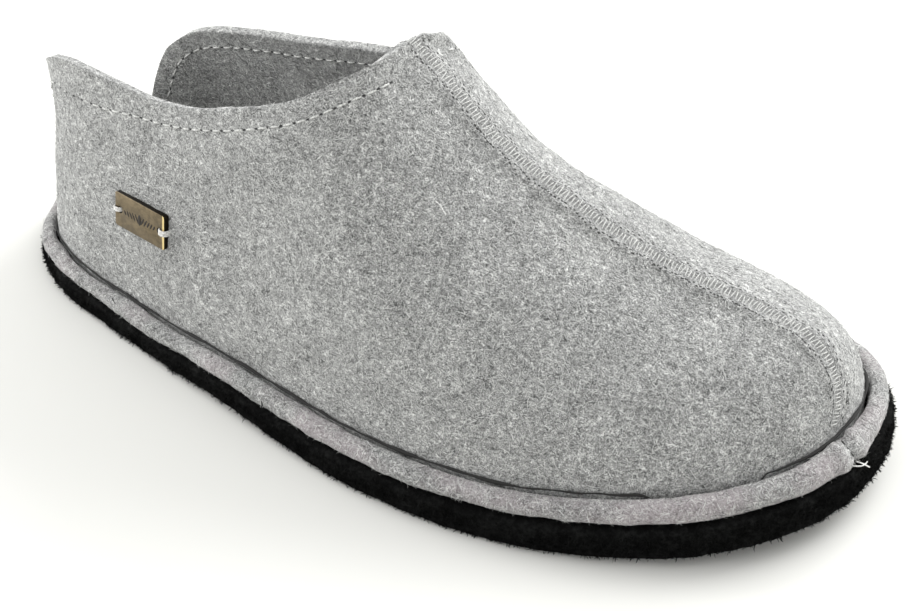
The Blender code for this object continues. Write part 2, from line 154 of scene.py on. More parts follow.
# Soft folds of the upper: a line from one point to another, how wide it is, and how far it stands out.
Fold = namedtuple("Fold", "x0 y0 z0 x1 y1 z1 width out")
FOLDS = (
    Fold(-0.100, -0.036, 0.050, -0.040, -0.050, 0.024, 0.011, 0.0010),
    Fold(-0.060, -0.036, 0.060, -0.010, -0.046, 0.040, 0.014, -0.0009),
    Fold(-0.012, -0.022, 0.088, 0.030, -0.040, 0.052, 0.012, -0.0008),
    Fold(0.010, -0.018, 0.083, 0.050, -0.036, 0.045, 0.010, 0.0006),
    Fold(0.012, 0.018, 0.080, 0.050, 0.038, 0.042, 0.012, -0.0008),
    Fold(-0.050, 0.036, 0.056, 0.005, 0.040, 0.036, 0.014, -0.0009),
    Fold(0.075, -0.030, 0.036, 0.105, -0.020, 0.030, 0.010, 0.0005),
)

# The felt beside the seam: how far off its middle, how wide, and how far it stands out.
Ridge = namedtuple("Ridge", "off width out")
SEAM_RIDGES = (Ridge(0.0, 0.0016, -0.00030), Ridge(-0.0032, 0.0012, 0.00022), Ridge(0.0044, 0.0009, -0.00045))

# How far above its foot the upper begins to be free to bulge, and how far up it is quite free.
FREE_FROM = 0.004
FREE_AT = 0.018

# How wide the felt is darkened as painted shade along the seam, and how far past the seam's ends that fades.
SEAM_SHADE_WIDTH = 0.0024
SEAM_SHADE_END = (0.001, 0.003)

# The zigzag: its thread's thickness beside the collar's, how far its stitches' ends dip, and how far they
# stray to the side.
ZIGZAG_THICKNESS = 0.62
ZIGZAG_DIP = -0.085
ZIGZAG_STRAY = 0.0008

# A collar stitch: its length and its hole's, a dark mark of painted shade, as shares of the pitch, then as
# shares of the thread's thickness the hole's width and depth and how far the stitch stands out, or is sunk at
# the ear, and its ends' dip.
STITCH_LENGTH = 0.74
HOLE_LENGTH = 0.26
HOLE_WIDTH = 1.1
HOLE_DEPTH = 0.35
STITCH_OUT = 0.42
STITCH_SUNK = -0.4
STITCH_DIP = -0.13

# How far off the seam the dark marks of painted shade at its needle holes lie, and at which of two stitches
# each row starts.
Needle = namedtuple("Needle", "off first")
NEEDLES = (Needle(-0.0026, 0), Needle(-0.0030, 1), Needle(0.0029, 1), Needle(0.0046, 0))

# The loose fibres: the piece they lie on, their name and colour, the setting that they are one in so many
# of, a seed, the share of them that stands away from the felt, and their length as a share.
Fibres = namedtuple("Fibres", "part kind tone number one_in seed loose reach")
FIBRES = (
    Fibres("upper", "standing", "grey", "light_fibres", 5, 16, 1.0, 0.8),
    Fibres("upper", "long", "light", "light_fibres", 2, 11, 0.36, 1.15),
    Fibres("upper", "short", "light", "light_fibres", 2, 15, 0.05, 0.75),
    Fibres("upper", "dark", "dark", "dark_fibres", 1, 12, 0.14, 0.9),
    Fibres("welt", "light", "light", "light_fibres", 7, 13, 0.25, 1.0),
    Fibres("welt", "dark", "dark", "dark_fibres", 7, 14, 0.08, 0.8),
)
FIBRE_CLEARANCE = 0.0014

# How far the ends of a loose and of a flat fibre rise, as shares of its length, and how far fibres bend and
# roll about their length.
LOOSE_RISE = 0.22
FLAT_RISE = 0.03
FIBRE_BEND = 0.36
FIBRE_ROLL = 1.6

# The settings that hold the fibres' colours.
FIBRE_TONES = {"light": "light", "dark": "dark", "grey": "colour"}

# The felt's patterns: the waves a metre of each noise, its detail and roughness, and how much it shows.
Pattern = namedtuple("Pattern", "waves detail rough share")
PATTERNS = (Pattern(90.0, 3.0, 0.6, 0.22), Pattern(520.0, 3.0, 0.7, 0.50), Pattern(1700.0, 2.0, 0.7, 0.35))

# The directions of the wool's strands, the waves a metre along and across them, and how they are curled.
STRAND_TURNS = ((0.3, 0.5, 0.2), (1.1, -0.6, 0.9), (-0.7, 1.3, -0.5))
STRAND_WAVES = (420.0, 1700.0, 1700.0)
CURL_WAVES = 520.0
CURL_REACH = 0.0026
SPECK_WAVES = 2500.0

# The tinge of the welt, and how dark the welt and the insole are beside the upper.
PINK = (0.46, 0.39, 0.41)
WELT_SHADE = 0.86
INSOLE_SHADE = 0.86

# The plate's ornament: how many strokes stand on each side of its lozenge, how far apart they are, how
# they slant, and how long, wide and thick they are.
STROKES = 5
STROKE_STEP = 0.00130
STROKE_SLANT = math.radians(58)
STROKE_LENGTH = 0.0034
STROKE_WIDTH = 0.00072
LOZENGE_WIDTH = 0.0016
STROKE_THICKNESS = 0.00012
STROKE_FADE = 0.10

# How far the plate's holes lie from its ends, how far apart the strands in them are, and their thickness.
PLATE_HOLE_EDGE = 0.0022
STRAND_STEP = 0.00042
STRAND_THICKNESS = 0.00027

# A stray hair on the vamp, from one end to the other, and the two thread ends at the welt's joint.
VAMP_HAIR = (Vector((0.0225, -0.0240, 0.0743)), Vector((0.0261, -0.0241, 0.0716)))
HAIR_LIFT = Vector((0.0, -0.0005, 0.0006))
THREAD_ENDS = (
    ((0.1347, 0.0055, 0.0178), (0.1362, 0.0060, 0.0176), (0.1372, 0.0075, 0.0160), (0.1371, 0.0090, 0.0146)),
    ((0.1338, 0.0030, 0.0178), (0.1360, 0.0045, 0.0172), (0.1370, 0.0068, 0.0168), (0.1368, 0.0080, 0.0170)),
)

# The floor's size, the point that the camera looks at, and where the lamps hang.
FLOOR_SIZE = 6.0
LOOK_AT = Vector((0.00927, 0.0023, 0.01995))
BACK_LAMP = Vector((0.35, 0.98, 0.66))
HEEL_LAMP = Vector((-1.10, -0.10, 0.35))


def colour_setting(name, description, default):
    """Return a colour that can be set in the sidebar."""
    return FloatVectorProperty(
        name=name, description=description, default=default, subtype="COLOR", min=0.0, max=1.0
    )


def length_setting(name, description, default):
    """Return a length that can be set in the sidebar."""
    return FloatProperty(name=name, description=description, default=default, unit="LENGTH")


def angle_setting(name, description, degrees):
    """Return an angle that can be set in the sidebar."""
    return FloatProperty(
        name=name, description=description, default=math.radians(degrees), subtype="ANGLE"
    )


class FeltSizes(bpy.types.PropertyGroup):
    """Sizes and colours of the felt."""

    colour: colour_setting("Felt", "Colour of the felt", (0.300, 0.303, 0.296))
    dark: colour_setting("Dark wool", "Colour of the dark wool in it", (0.060, 0.062, 0.060))
    light: colour_setting("Light wool", "Colour of the light wool in it", (0.78, 0.785, 0.765))
    fibre_length: length_setting("Fibre length", "Length of a loose fibre", 0.0021)
    fibre_width: length_setting("Fibre width", "Width of a loose fibre", 0.000105)
    light_fibres: IntProperty(name="Light fibres", description="Number of light fibres", default=52000)
    dark_fibres: IntProperty(name="Dark fibres", description="Number of dark fibres", default=14000)


class StitchSizes(bpy.types.PropertyGroup):
    """Sizes and colours of the stitches."""

    colour: colour_setting("Thread", "Colour of the thread", (0.74, 0.745, 0.72))
    thickness: length_setting("Thread thickness", "Thickness of the collar's thread", 0.00058)
    pitch: length_setting("Stitch pitch", "Distance from one collar stitch to the next", 0.0043)
    seam_width: length_setting("Seam width", "Width of the zigzag along the seam", 0.0056)
    seam_pitch: length_setting("Zigzag pitch", "Distance from one zigzag stitch to the next", 0.00105)


class SoleSizes(bpy.types.PropertyGroup):
    """Sizes and colours of the sole."""

    colour: colour_setting("Sole", "Colour of the sole's nap", (0.007, 0.0072, 0.0070))
    nap_length: length_setting("Nap length", "Length of the sole's nap", 0.0012)
    nap_width: length_setting("Nap width", "Width of a tuft of the sole's nap", 0.00026)
    naps: IntProperty(name="Naps", description="Number of tufts on the sole's side", default=24000)


class PlateSizes(bpy.types.PropertyGroup):
    """Colours of the metal plate."""

    metal: colour_setting("Metal", "Colour of the darkened metal", (0.165, 0.130, 0.080))
    worn: colour_setting("Worn metal", "Colour of the metal where it is worn bright", (0.82, 0.66, 0.32))
    thread: colour_setting("Plate thread", "Colour of the thread that holds the plate", (0.82, 0.81, 0.78))


class StageSizes(bpy.types.PropertyGroup):
    """Where the camera stands, and how strong the lights are."""

    turn: angle_setting("Turn", "How far the camera stands round towards the toe", 36.04)
    rise: angle_setting("Rise", "How far the camera looks down", 35.59)
    roll: angle_setting("Roll", "How far the camera is rolled", -1.32)
    distance: length_setting("Distance", "How far away the camera stands", 0.787)
    lens: FloatProperty(name="Lens", description="Focal length in millimetres", default=109.73)
    dome: FloatProperty(name="Dome", description="Strength of the light from all round", default=1.10)
    back: FloatProperty(name="Back", description="Watts of the lamp behind the slipper", default=19.0)
    heel: FloatProperty(name="Heel", description="Watts of the lamp behind the heel", default=11.0)


def settings(name):
    """Return one group of the slipper's settings."""
    return getattr(bpy.context.scene, "slipper_" + name)


class Wire:
    """A value in a material's nodes, with the sums that patterns are made of."""

    def __init__(self, finish, socket):
        self.finish = finish
        self.socket = socket

    def math(self, operation, first, second=None):
        """Add one Math node."""
        sockets = {"Value": first}
        if second is not None:
            sockets["Value_001"] = second
        return self.finish.node("ShaderNodeMath", {"operation": operation}, sockets)

    def __add__(self, other):
        return self.math("ADD", self, other)

    def __radd__(self, other):
        return self.math("ADD", other, self)

    def __sub__(self, other):
        return self.math("SUBTRACT", self, other)

    def __rsub__(self, other):
        return self.math("SUBTRACT", other, self)

    def __mul__(self, other):
        return self.math("MULTIPLY", self, other)

    def __rmul__(self, other):
        return self.math("MULTIPLY", other, self)

    def most(self, other):
        """Return the larger of two values."""
        return self.math("MAXIMUM", self, other)

    def least(self, other):
        """Return the smaller of two values."""
        return self.math("MINIMUM", self, other)


class Finish:
    """A material being made."""

    def __init__(self, name, colour, roughness, metallic=0.0):
        self.material = bpy.data.materials.new(name)
        self.material.use_nodes = True
        self.tree = self.material.node_tree
        self.shader = self.tree.nodes["Principled BSDF"]
        self.coated({"Base Color": (*colour, 1.0), "Roughness": roughness, "Metallic": metallic})
        self.place = self.node("ShaderNodeTexCoord", {}, {}, "Object")

    def feed(self, node, key, value):
        """Set or link one socket, named by its identifier or its name."""
        socket = next((s for s in node.inputs if s.identifier == key), None) or node.inputs[key]
        if isinstance(value, Wire):
            self.tree.links.new(value.socket, socket)
        else:
            socket.default_value = value

    def node(self, kind, options, sockets, output=0):
        """Add a node with its options set, then its sockets, and return one of its outputs."""
        node = self.tree.nodes.new(kind)
        for name, value in options.items():
            setattr(node, name, value)
        for key, value in sockets.items():
            self.feed(node, key, value)
        return Wire(self, node.outputs[output])

    def noise(self, scale, detail=2.0, rough=0.5, place=None):
        """Return an even noise from 0 to 1, with so many waves a metre."""
        sockets = {"Vector": place or self.place, "Scale": scale, "Detail": detail, "Roughness": rough}
        return self.node("ShaderNodeTexNoise", {}, sockets)

    def vector(self, operation, first, second, third=(0.0, 0.0, 0.0)):
        """Add one Vector Math node."""
        sockets = {"Vector": first, "Vector_001": second, "Vector_002": third}
        return self.node("ShaderNodeVectorMath", {"operation": operation}, sockets)

    def turned(self, turn, stretch, place=None):
        """Return a place on the object, turned and stretched."""
        sockets = {"Vector": place or self.place, "Rotation": turn, "Scale": stretch}
        return self.node("ShaderNodeMapping", {}, sockets)

    def ramp(self, value, low, high):
        """Return 0 below low, 1 above high, and a smooth step between."""
        sockets = {"Value": value, "From Min": low, "From Max": high}
        return self.node("ShaderNodeMapRange", {"interpolation_type": "SMOOTHSTEP"}, sockets)

    def blend(self, share, first, second):
        """Return a mix of two colours."""
        colours = [c if isinstance(c, Wire) else (*c, 1.0) for c in (first, second)]
        sockets = {"Factor_Float": share, "A_Color": colours[0], "B_Color": colours[1]}
        return self.node("ShaderNodeMix", {"data_type": "RGBA"}, sockets, RGB_OUTPUT)

    def dent(self, height, distance, strength=1.0):
        """Bump the surface by a height, as far as the distance."""
        sockets = {"Height": height, "Distance": distance, "Strength": strength}
        self.coated({"Normal": self.node("ShaderNodeBump", {}, sockets, "Normal")})

    def coated(self, values):
        """Set or link sockets of the shader, by their names, and return the material."""
        for key, value in values.items():
            self.feed(self.shader, key, value)
        return self.material


def tinted(colour, shade):
    """Return a colour made darker or lighter."""
    return tuple(channel * shade for channel in colour)


def felt_finish(name, shade, pinkness=0.0, sewn=False):
    """Make a felt of mixed light and dark wool, with curled fibres that lie in all directions."""
    felt = settings("felt")
    colour, dark, light = (tinted(tone, shade) for tone in (felt.colour, felt.dark, felt.light))
    finish = Finish(name, colour, 0.95)
    sockets = {"Vector": finish.place, "Scale": CURL_WAVES, "Detail": 1.0}
    curl = finish.node("ShaderNodeTexNoise", {}, sockets, "Color")
    curl = finish.vector("MULTIPLY_ADD", curl, (CURL_REACH,) * 3, finish.place)
    clouds, flecks, grain = (finish.noise(row.waves, row.detail, row.rough) for row in PATTERNS)
    pale = None
    deep = None
    for turn in STRAND_TURNS:
        strand = finish.noise(1.0, 2.0, 0.6, finish.turned(turn, STRAND_WAVES, curl))
        pale = strand if pale is None else pale.most(strand)
        deep = strand if deep is None else deep.least(strand)
    patchy = (clouds - HALF) * PATTERNS[0].share
    patchy = patchy + (flecks - HALF) * PATTERNS[1].share + (grain - HALF) * PATTERNS[2].share
    wool = finish.blend(finish.ramp(pale + patchy, 0.585, 0.80) * 0.95, colour, light)
    wool = finish.blend(finish.ramp(deep + patchy, 0.425, 0.215) * 0.95, wool, dark)
    specks = finish.noise(SPECK_WAVES, 1.0)
    wool = finish.blend(finish.ramp(specks, 0.50, 0.32) * 0.65, wool, dark)
    wool = finish.blend(finish.ramp(specks, 0.56, 0.72) * 0.45, wool, light)
    if pinkness:
        wool = finish.blend(finish.ramp(finish.noise(60.0), 0.35, 0.7) * pinkness, wool, PINK)
    # Painted shade along the seam: the felt is darkened where its stitches pull it in.
    if sewn:
        seam_shade = finish.node("ShaderNodeAttribute", {"attribute_name": "sewn"}, {}, "Fac")
        wool = finish.blend(seam_shade * 0.6, wool, tinted(colour, 0.42))
    finish.dent(pale * 0.9 + deep * 0.5 + grain * 0.4 + flecks * 0.5, 0.0006, 0.9)
    sheen = {"Sheen Weight": 0.2, "Sheen Roughness": 0.6}
    return finish.coated({"Base Color": wool, "Specular IOR Level": 0.15, **sheen})


def fibre_finish(name, colour):
    """Make the finish of loose fibres, which differ a little from one to the next."""
    finish = Finish(name, colour, 0.9)
    share = finish.ramp(finish.noise(700, 1.0), 0.35, 0.65)
    tone = finish.blend(share, tinted(colour, 0.72), colour)
    return finish.coated({"Base Color": tone, "Specular IOR Level": 0.2})


def thread_finish(name, colour):
    """Make the finish of twisted thread."""
    finish = Finish(name, colour, 0.8)
    strands = finish.noise(2600, 1.0)
    tone = finish.blend(finish.ramp(strands, 0.35, 0.62), tinted(colour, 0.6), colour)
    finish.dent(strands, 0.0003)
    return finish.coated({"Base Color": tone})


def nap_finish():
    """Make the finish of the black sole, whose short nap is brushed this way and that."""
    colour = tuple(settings("sole").colour)
    finish = Finish("black_nap", colour, 0.98)
    tufts = finish.noise(700, 3.0, 0.6)
    patches = finish.noise(130, 2.0)
    share = finish.ramp(tufts * 0.7 + patches * 0.5, 0.50, 0.85)
    tone = finish.blend(share, tinted(colour, 0.55), tinted(colour, 2.2))
    finish.dent(tufts + finish.noise(2200, 2.0) * 0.4, 0.0008)
    return finish.coated({"Base Color": tone, "Specular IOR Level": 0.06})


def metal_finish():
    """Make the darkened metal of the plate, worn bright along its edges, with its side faces painted near
    black as painted shade.
    """
    plate = settings("plate")
    finish = Finish("aged_brass", tuple(plate.metal), 0.42, 0.9)
    patches = finish.noise(420, 3.0, 0.6)
    streaks = finish.noise(1.0, 2.0, 0.5, finish.turned((0.0, 0.0, 0.12), (500.0, 4000.0, 4000.0)))
    stain = finish.ramp(patches * 0.7 + streaks * 0.4, 0.42, 0.68)
    colour = finish.blend(stain, tinted(plate.metal, 0.72), tinted(plate.metal, 1.25))
    place = finish.node("ShaderNodeTexCoord", {}, {}, "UV")
    across = finish.node("ShaderNodeSeparateXYZ", {}, {"Vector": place})
    edge = finish.node("ShaderNodeAttribute", {"attribute_name": "edge"}, {}, "Fac")
    worn = finish.ramp(across + patches * 0.02, 0.965, 0.985)
    colour = finish.blend(worn, colour, tuple(plate.worn))
    # Painted shade: the side faces are made near black.
    colour = finish.blend(finish.ramp(edge, 0.2, 0.8), colour, tinted(plate.metal, 0.12))
    finish.dent(patches + streaks * 0.5, 0.00006)
    return finish.coated({"Base Color": colour, "Roughness": 0.34 + stain * 0.16})


def plain_finish(name, colour, roughness):
    """Make a finish whose tone varies a little, for the floor, the engraving and the small dark marks of
    painted shade.
    """
    finish = Finish(name, colour, roughness)
    return finish.coated({"Base Color": finish.blend(finish.noise(3.0), tinted(colour, 0.99), colour)})


def placed(name, data):
    """Put a mesh, a curve, a lamp or a camera in the scene."""
    thing = bpy.data.objects.new(name, data)
    bpy.context.scene.collection.objects.link(thing)
    return thing


def finished(name, mesh, material):
    """Put a mesh in the scene as one piece of the slipper, which rides with it."""
    mesh.materials.clear()
    mesh.materials.append(material)
    piece = placed(name, mesh)
    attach(piece, "root")
    return piece


def merged(node):
    """Return a copy of a CAD node's mesh with its loose triangles joined at their corners."""
    work = bmesh.new()
    work.from_mesh(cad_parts[node].data)
    bmesh.ops.remove_doubles(work, verts=work.verts, dist=MERGE)
    work.normal_update()
    return work


def made(name, work):
    """Turn a bmesh into a mesh."""
    mesh = bpy.data.meshes.new(name)
    work.to_mesh(mesh)
    work.free()
    return mesh


def sharp_edges(work):
    """Return the edges at which a mesh turns sharply."""
    return [e for e in work.edges if len(e.link_faces) == 2 and e.calc_face_angle(0.0) > SHARP]


def subdivided(work, name, levels, crease):
    """Turn a mesh's triangles into quads, smooth it and return it as a finer mesh."""
    marks = work.edges.layers.float.new("crease_edge")
    for edge in sharp_edges(work):
        edge[marks] = crease
    bmesh.ops.join_triangles(
        work, faces=work.faces, angle_face_threshold=math.radians(35), angle_shape_threshold=math.radians(60)
    )
    mesh = made(name, work)
    rough = placed(name + "_rough", mesh)
    smoother = rough.modifiers.new("smooth", "SUBSURF")
    smoother.levels = levels
    smoother.render_levels = levels
    view = bpy.context.evaluated_depsgraph_get()
    fine = bpy.data.meshes.new_from_object(rough.evaluated_get(view))
    fine.name = name
    bpy.data.objects.remove(rough)
    bpy.data.meshes.remove(mesh)
    fine.shade_smooth()
    return fine


def lump_height(point, lumps):
    """Return how far lumps stand out at a point."""
    return sum(lump.depth * noise.noise(point / lump.width) for lump in lumps)


def moved_out(mesh, distance):
    """Move each vertex along its normal by what a function of its place and normal returns."""
    steps = [distance(vert.co, vert.normal) * vert.normal for vert in mesh.vertices]
    for vert, step in zip(mesh.vertices, steps):
        vert.co += step
    mesh.update()


def smooth(value, low, high):
    """Return 0 below low, 1 above high, and a smooth step between."""
    share = min(max((value - low) / (high - low), 0.0), 1.0)
    return share * share * (3.0 - 2.0 * share)


class Skin:
    """A surface to lay things on."""

    def __init__(self, tree):
        self.tree = tree

    @classmethod
    def of_mesh(cls, mesh):
        """Make the surface of a mesh."""
        work = bmesh.new()
        work.from_mesh(mesh)
        tree = BVHTree.FromBMesh(work)
        work.free()
        return cls(tree)

    @classmethod
    def of_faces(cls, faces):
        """Make the surface of some faces of a bmesh."""
        points = []
        polygons = []
        for face in faces:
            polygons.append(tuple(range(len(points), len(points) + len(face.verts))))
            points += [vert.co.copy() for vert in face.verts]
        return cls(BVHTree.FromPolygons(points, polygons))

    def near(self, point):
        """Return the nearest point of the surface and its normal."""
        spot, normal, _, _ = self.tree.find_nearest(point)
        return spot, normal

    def gap(self, point):
        """Return how far a point lies from the surface."""
        return self.tree.find_nearest(point)[3]


def regions(work):
    """Split a mesh's faces at its sharp edges, and return the regions, the largest first."""
    sharp = set(sharp_edges(work))
    left = set(work.faces)
    found = []
    for start in work.faces:
        if start not in left:
            continue
        left.remove(start)
        region = [start]
        waiting = [start]
        while waiting:
            face = waiting.pop()
            for edge in face.edges:
                if edge in sharp:
                    continue
                for other in edge.link_faces:
                    if other in left:
                        left.remove(other)
                        region.append(other)
                        waiting.append(other)
        found.append(region)
    return sorted(found, key=lambda faces: -sum(face.calc_area() for face in faces))


def collar_edge(region):
    """Return the points of a wall's upper edge, in order."""
    faces = set(region)
    border = [e for f in region for e in f.edges if sum(g in faces for g in e.link_faces) == 1]
    ahead = {}
    for edge in border:
        for vert in edge.verts:
            ahead.setdefault(vert, []).append(edge.other_vert(vert))
    start = max(ahead, key=lambda vert: vert.co.z)
    line = [start, ahead[start][0]]
    while True:
        following = [vert for vert in ahead[line[-1]] if vert is not line[-2]]
        if not following or following[0] is start:
            return [vert.co.copy() for vert in line]
        line.append(following[0])


def even_line(points, step, closed=False):
    """Return points at even steps along a line."""
    line = np.array([tuple(p) for p in points])
    if closed:
        line = np.vstack((line, line[:1]))
    lengths = np.concatenate(((0.0,), np.cumsum(np.linalg.norm(np.diff(line, axis=0), axis=1))))
    count = max(2, int(round(lengths[-1] / step)))
    places = np.linspace(0.0, lengths[-1], count + 1)
    if closed:
        places = places[:-1]
    return [Vector(np.array([np.interp(s, lengths, line[:, k]) for k in range(3)])) for s in places]


def tangents(points, closed=False):
    """Return the direction of a line at each of its points."""
    count = len(points)
    ways = []
    for k in range(count):
        after = points[(k + 1) % count] if closed else points[min(k + 1, count - 1)]
        before = points[k - 1] if closed else points[max(k - 1, 0)]
        ways.append((after - before).normalized())
    return ways


def hem_width(point):
    """Return how far the collar's stitches lie from its edge."""
    if point.y > 0.0:
        return INNER_HEM
    return float(np.interp(point.x, [row.x for row in HEMS], [row.width for row in HEMS]))


def slid_line(edge, skin, steps=8):
    """Slide a wall's edge down its surface to where the collar's stitches run."""
    line = even_line(edge, 0.002, closed=True)
    ways = tangents(line, closed=True)
    widths = [hem_width(point) for point in line]
    downs = [skin.near(point)[1].cross(way) for point, way in zip(line, ways)]
    sign = -1.0 if sum(down.z for down in downs) > 0.0 else 1.0
    for _ in range(steps):
        moved = []
        for point, way, width in zip(line, ways, widths):
            down = skin.near(point)[1].cross(way).normalized() * sign
            moved.append(skin.near(point + down * (width / steps))[0])
        line = []
        for k, point in enumerate(moved):
            beside = moved[k - 1] + moved[(k + 1) % len(moved)]
            line.append(point * HALF + beside * HALF * HALF)
    return [skin.near(point)[0] for point in line]


def laid_frames(points, ways, skin):
    """Return for points on a surface their places, directions along, across and outwards."""
    places = []
    axes = []
    for point, way in zip(points, ways):
        spot, normal = skin.near(point)
        across = normal.cross(way).normalized()
        places.append(spot)
        axes.append((across.cross(normal), across, normal))
    return np.array([tuple(p) for p in places]), np.array([[tuple(v) for v in rows] for rows in axes])


def capsule():
    """Return a short thread, 1 long, 1 wide and 1 thick."""
    work = bmesh.new()
    bmesh.ops.create_uvsphere(work, u_segments=6, v_segments=5, radius=HALF)
    bmesh.ops.rotate(work, verts=work.verts, matrix=Matrix.Rotation(math.pi * HALF, 3, "Y"))
    return work


def strand():
    """Return a flat fibre, 1 long and 1 wide, that narrows to its ends."""
    work = bmesh.new()
    bmesh.ops.create_grid(work, x_segments=3, y_segments=1, size=HALF)
    for vert in work.verts:
        vert.co.y *= 1.0 - 0.7 * (2.0 * vert.co.x) ** 2
    return work


def repeated(name, template, places, axes, sizes, bends=None, lifts=None):
    """Copy a template to many places, and return the mesh.

    axes holds each copy's direction along, across and outwards. bends moves its ends sideways, and lifts
    moves its two ends outwards, as shares of its length.
    """
    corners = np.array([tuple(v.co) for v in template.verts])
    template.verts.index_update()
    faces = [[v.index for v in f.verts] for f in template.faces]
    template.free()
    count = len(places)
    sizes = np.broadcast_to(np.asarray(sizes, float), (count, 3))
    local = corners[None, :, :] * sizes[:, None, :]
    ends = (2.0 * corners[:, 0])[None, :]
    if bends is not None:
        local[:, :, 1] += ends ** 2 * (bends * sizes[:, 0])[:, None]
    if lifts is not None:
        rise = np.where(ends > 0.0, lifts[:, 1][:, None], lifts[:, 0][:, None])
        local[:, :, 2] += ends ** 2 * rise * sizes[:, 0][:, None]
    points = places[:, None, :] + np.einsum("nvk,nkc->nvc", local, axes)
    mesh = bpy.data.meshes.new(name)
    shifts = np.arange(count) * len(corners)
    polygons = [[corner + shift for corner in face] for shift in shifts.tolist() for face in faces]
    mesh.from_pydata(points.reshape(-1, 3), [], polygons)
    mesh.update()
    mesh.shade_smooth()
    return mesh


def read(items, key, kind=float):
    """Return three numbers for each vertex or triangle."""
    numbers = np.zeros(len(items) * 3, dtype=kind)
    items.foreach_get(key, numbers)
    return numbers.reshape(-1, 3)


def unit(rows):
    """Return directions at length 1."""
    return rows / np.linalg.norm(rows, axis=1)[:, None]


def scattered(mesh, count, seed, weigh=None):
    """Return points spread evenly over a mesh, and its normals there."""
    random = np.random.default_rng(seed)
    mesh.calc_loop_triangles()
    triangles = read(mesh.loop_triangles, "vertices", np.int32)
    corners = read(mesh.vertices, "co")[triangles]
    normals = read(mesh.vertices, "normal")[triangles]
    chances = np.linalg.norm(np.cross(corners[:, 1] - corners[:, 0], corners[:, 2] - corners[:, 0]), axis=1)
    if weigh is not None:
        chances = chances * weigh(corners.mean(axis=1), normals.mean(axis=1))
    chosen = random.choice(len(corners), count, p=chances / chances.sum())
    shares = random.random((count, 2))
    over = shares.sum(axis=1) > 1.0
    shares[over] = 1.0 - shares[over]
    shares = np.column_stack((1.0 - shares.sum(axis=1), shares))
    points = np.einsum("nk,nkc->nc", shares, corners[chosen])
    return points, unit(np.einsum("nk,nkc->nc", shares, normals[chosen]))


def fibre_mesh(name, points, normals, seed, length, width, lift, loose, stand=0.0):
    """Lay fibres on a surface in all directions. A share of them is loose, and stands away from it."""
    random = np.random.default_rng(seed)
    count = len(points)
    helper = np.where(np.abs(normals[:, 2:3]) < 0.8, (0.0, 0.0, 1.0), (1.0, 0.0, 0.0))
    first = unit(np.cross(helper, normals))
    second = np.cross(normals, first)
    angle = random.random(count) * 2.0 * math.pi
    along = first * np.cos(angle)[:, None] + second * np.sin(angle)[:, None]
    rise = random.random(count) * stand
    along = along * np.cos(rise)[:, None] + normals * np.sin(rise)[:, None]
    across = unit(np.cross(normals, along))
    out = np.cross(along, across)
    roll = (random.random(count) - HALF) * FIBRE_ROLL
    tilted = across * np.cos(roll)[:, None] + out * np.sin(roll)[:, None]
    axes = np.stack((along, tilted, np.cross(along, tilted)), axis=1)
    lengths = length * (0.35 + 1.3 * random.random(count) ** 1.5)
    widths = width * (0.7 + 0.6 * random.random(count))
    sizes = np.column_stack((lengths, widths, widths))
    free = random.random(count) < loose
    lifts = random.random((count, 2)) * np.where(free, LOOSE_RISE, FLAT_RISE)[:, None]
    bends = (random.random(count) - HALF) * FIBRE_BEND
    places = points + normals * lift + along * (np.sin(rise) * lengths * HALF)[:, None]
    return repeated(name, strand(), places, axes, sizes, bends, lifts)


def tube(name, points, radius, material, swells=None):
    """Make a thin tube through points, as a mesh. swells holds its thickness at each point, as a share."""
    curve = bpy.data.curves.new(name, "CURVE")
    curve.dimensions = "3D"
    curve.bevel_depth = radius
    curve.bevel_resolution = 2
    curve.resolution_u = 6
    curve.use_fill_caps = True
    line = curve.splines.new("NURBS")
    line.points.add(len(points) - 1)
    for spot, point, swell in zip(line.points, points, swells or [1.0] * len(points)):
        spot.co = (*point, 1.0)
        spot.radius = swell
    line.use_endpoint_u = True
    line.order_u = 3
    shape = placed(name, curve)
    mesh = bpy.data.meshes.new_from_object(shape.evaluated_get(bpy.context.evaluated_depsgraph_get()))
    bpy.data.objects.remove(shape)
    bpy.data.curves.remove(curve)
    mesh.shade_smooth()
    return finished(name, mesh, material)


def number(count):
    """Return a count of small things, as it is given."""
    return count


def fold_height(point):
    """Return how far the upper's soft folds stand out at a point."""
    total = 0.0
    for fold in FOLDS:
        start = Vector((fold.x0, fold.y0, fold.z0))
        reach = Vector((fold.x1, fold.y1, fold.z1)) - start
        share = min(max((point - start).dot(reach) / reach.length_squared, 0.0), 1.0)
        away = (point - start - reach * share).length / fold.width
        fade = 1.0 - abs(2.0 * share - 1.0) ** 3
        total += fold.out * math.exp(-away * away) * fade
    return total


class Seam:
    """The line along which the upper's two halves are sewn together."""

    def __init__(self, skin):
        line = even_line(SEAM_LINE, SEAM_STEP)
        self.points = [skin.near(point)[0] for point in line]
        self.ways = tangents(self.points)
        self.tree = KDTree(len(self.points))
        for k, point in enumerate(self.points):
            self.tree.insert(point, k)
        self.tree.balance()

    def off(self, point):
        """Return how far a point lies off the seam, and how far in front of or behind its ends."""
        spot, place, _ = self.tree.find(point)
        reach = point - spot
        way = self.ways[place]
        across = way.cross(Vector((0.0, 0.0, 1.0))).normalized()
        along = reach.dot(way)
        aside = math.sqrt(max(reach.length_squared - along * along, 0.0))
        return math.copysign(aside, -reach.dot(across)), abs(along)


def hump(away, width):
    """Return 1 in the middle of a hump and next to nothing beyond twice its width."""
    return math.exp(-((away / width) ** 2))


